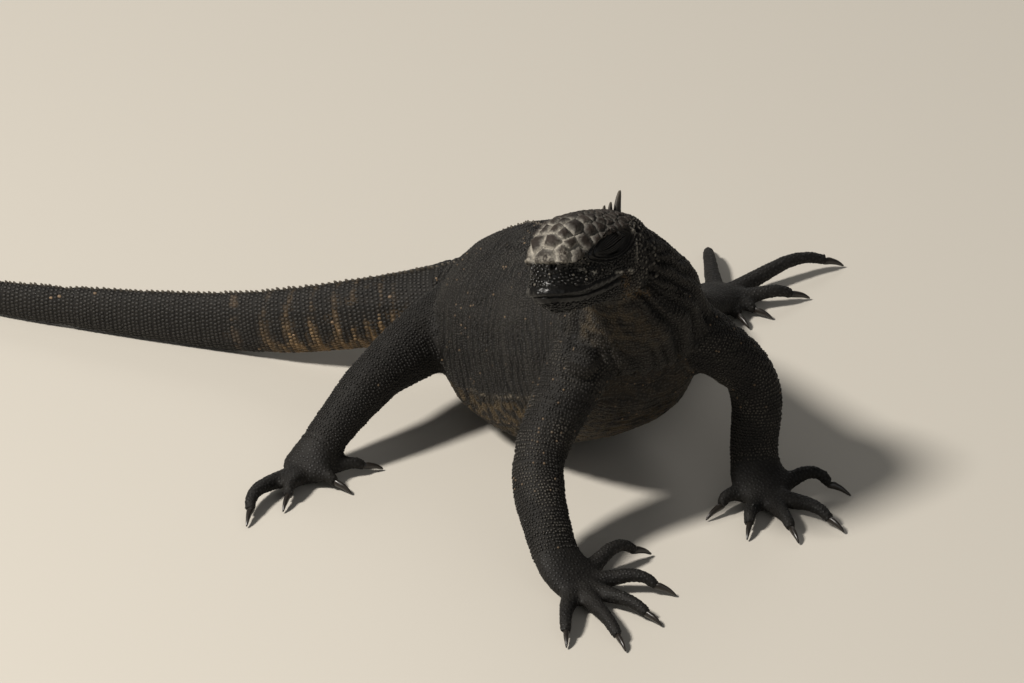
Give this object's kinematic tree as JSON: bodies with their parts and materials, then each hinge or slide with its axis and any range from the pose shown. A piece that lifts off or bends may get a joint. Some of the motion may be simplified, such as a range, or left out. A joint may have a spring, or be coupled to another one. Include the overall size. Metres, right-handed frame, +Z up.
{
  "type": "marine iguana",
  "caption": "Life-size marine iguana, still: blunt plated head turned to its right, spined crest, flattened tail, spread clawed toes, propped on its forelegs.",
  "frame": {"origin": "centre of the floor under the animal's bounding box", "axes": "+Z up, the trunk faces -Y, +X is the animal's left, the tail runs towards +Y"},
  "size_m": [0.4326, 0.5674, 0.1603],
  "materials": {
    "skin": "matte granular scales",
    "belly_skin": "matte, speckled tan",
    "head_skin": "worn plates with pale salt crust",
    "eyelid": "fine folded skin",
    "claw_horn": "smooth dark horn"
  },
  "bodies": {
    "root": {"head": "head_skin", "lower_jaw": "head_skin", "eye_left": "eyelid", "eye_right": "eyelid", "neck": "skin", "chest": "belly_skin", "abdomen": "belly_skin", "tail_base": "skin", "tail_middle": "skin", "tail_rear": "skin", "tail_tip": "skin", "right_upper_arm": "skin", "right_forearm": "skin", "claw_right_hand_1": "claw_horn", "claw_right_hand_2": "claw_horn", "claw_right_hand_3": "claw_horn", "claw_right_hand_4": "claw_horn", "claw_right_hand_5": "claw_horn", "right_hand": "skin", "left_upper_arm": "skin", "left_forearm": "skin", "claw_left_hand_1": "claw_horn", "claw_left_hand_2": "claw_horn", "claw_left_hand_3": "claw_horn", "claw_left_hand_4": "claw_horn", "claw_left_hand_5": "claw_horn", "left_hand": "skin", "right_thigh": "skin", "right_shank": "skin", "claw_right_foot_1": "claw_horn", "claw_right_foot_2": "claw_horn", "claw_right_foot_3": "claw_horn", "claw_right_foot_4": "claw_horn", "claw_right_foot_5": "claw_horn", "right_foot": "skin", "left_thigh": "skin", "left_shank": "skin", "claw_left_foot_1": "claw_horn", "claw_left_foot_2": "claw_horn", "claw_left_foot_3": "claw_horn", "claw_left_foot_4": "claw_horn", "claw_left_foot_5": "claw_horn", "left_foot": "skin"}
  },
  "joints": []
}
